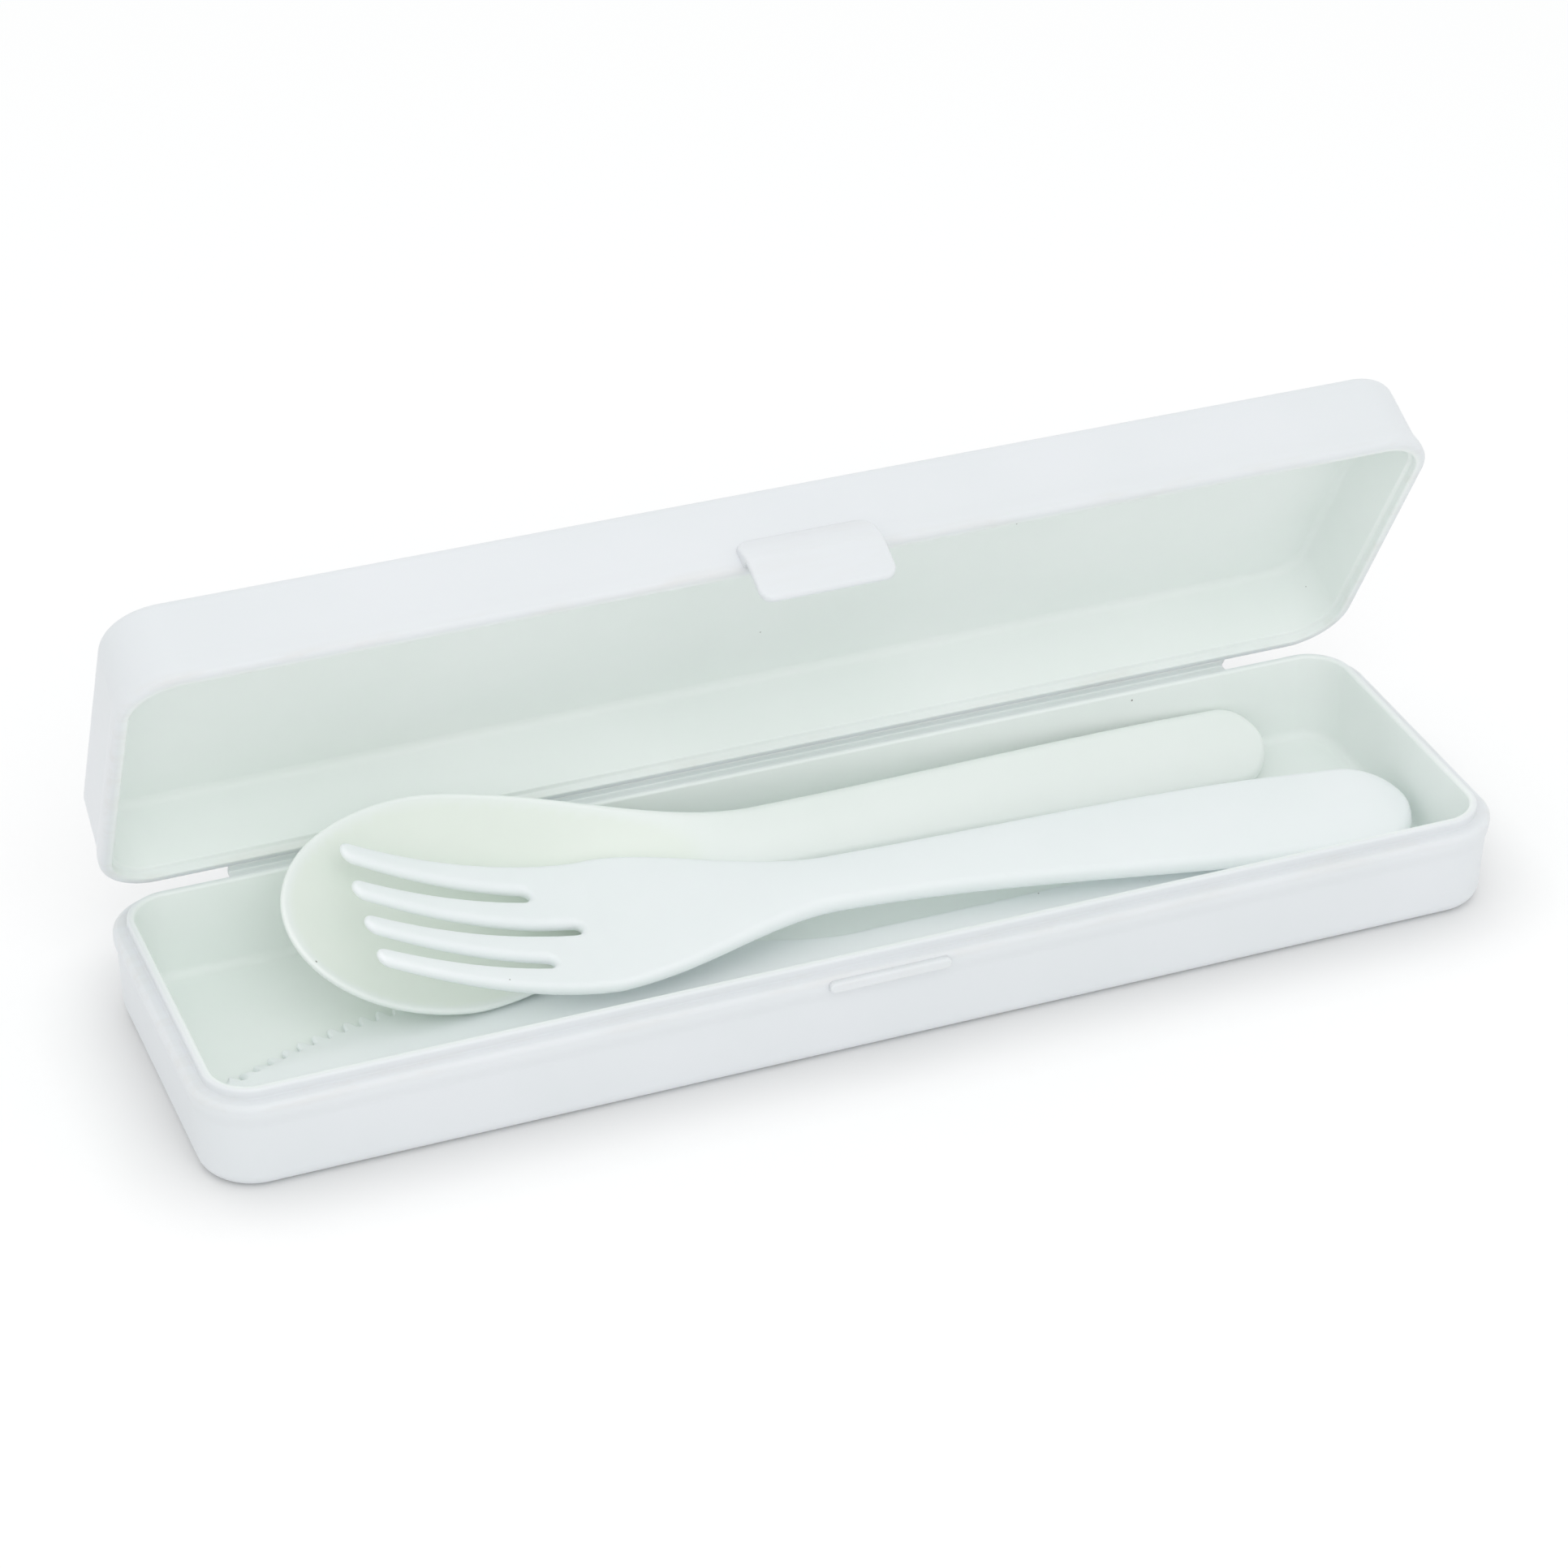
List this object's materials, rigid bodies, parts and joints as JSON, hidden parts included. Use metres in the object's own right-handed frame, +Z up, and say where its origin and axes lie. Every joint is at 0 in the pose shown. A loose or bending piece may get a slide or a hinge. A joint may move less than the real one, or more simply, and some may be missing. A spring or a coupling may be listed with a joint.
{
  "type": "plastic cutlery pack",
  "caption": "Shallow moulded plastic case with a film-hinged lid and a snap tab, standing open, with a fork, a spoon and a serrated knife lying in its base.",
  "frame": {"origin": "middle of the base's flat underside, on the surface it stands on", "axes": "+X along the case, +Y towards the hinge at the back, +Z up"},
  "size_m": [0.2, 0.0684, 0.0697],
  "materials": {
    "case": "satin, cool white",
    "cutlery": "satin, faintly green white"
  },
  "bodies": {
    "base": {"case_base": "case", "knife": "cutlery", "spoon": "cutlery", "fork": "cutlery"},
    "lid": {"case_lid": "case"}
  },
  "joints": [
    {"name": "lid_hinge", "type": "hinge", "parent": "base", "child": "lid", "pos_m": [0, 0.0288, 0.01455], "axis": [-1, 0, 0], "range_deg": [-62, 118]}
  ]
}
